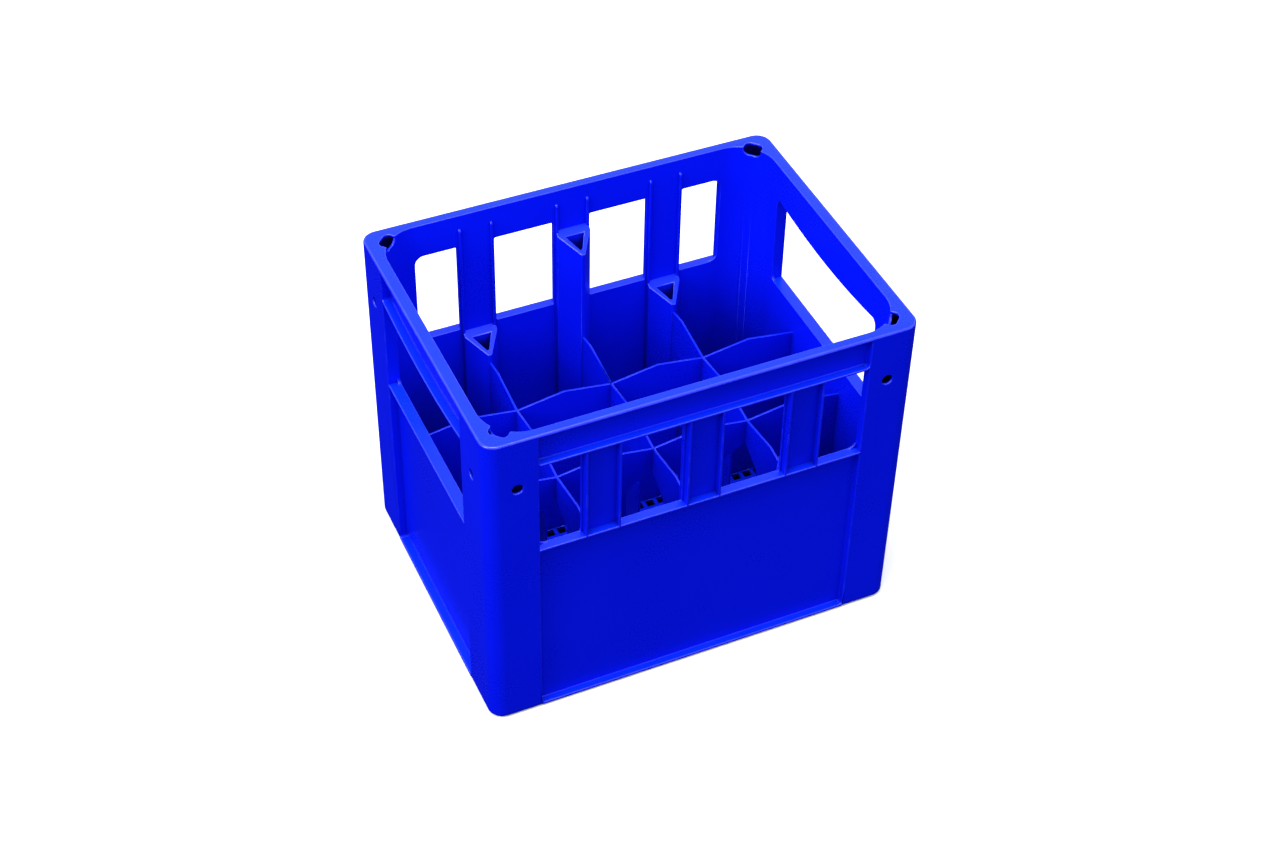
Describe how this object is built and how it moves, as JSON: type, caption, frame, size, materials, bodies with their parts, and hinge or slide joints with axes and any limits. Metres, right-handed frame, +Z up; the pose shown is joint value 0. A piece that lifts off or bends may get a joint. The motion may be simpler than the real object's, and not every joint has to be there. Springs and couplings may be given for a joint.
{
  "type": "bottle crate",
  "caption": "Open-top moulded bottle crate: recessed walls with a window band, bowed end handles, hollow triangular wall pillars, arched gable-topped cell dividers and a pierced floor.",
  "frame": {"origin": "under the middle of the crate, on the plane of the four corner feet", "axes": "+X along the long side, +Y across the crate to the rear wall, +Z up to the rim"},
  "size_m": [0.4, 0.302, 0.335],
  "materials": {
    "shell": "satin moulded polyethylene, saturated blue",
    "grid": "satin moulded polyethylene, saturated blue"
  },
  "bodies": {
    "root": {"corner_post_front_left": "shell", "corner_post_front_right": "shell", "corner_post_rear_left": "shell", "corner_post_rear_right": "shell", "front_rim": "shell", "rear_rim": "shell", "left_handle": "shell", "right_handle": "shell", "front_panel": "shell", "rear_panel": "shell", "left_panel": "shell", "right_panel": "shell", "front_pillar_left": "shell", "front_pillar_middle": "shell", "front_pillar_right": "shell", "rear_pillar_left": "shell", "rear_pillar_middle": "shell", "rear_pillar_right": "shell", "long_divider_front": "grid", "long_divider_rear": "grid", "cross_divider_left": "grid", "cross_divider_middle": "grid", "cross_divider_right": "grid", "floor_grid": "grid"}
  },
  "joints": []
}
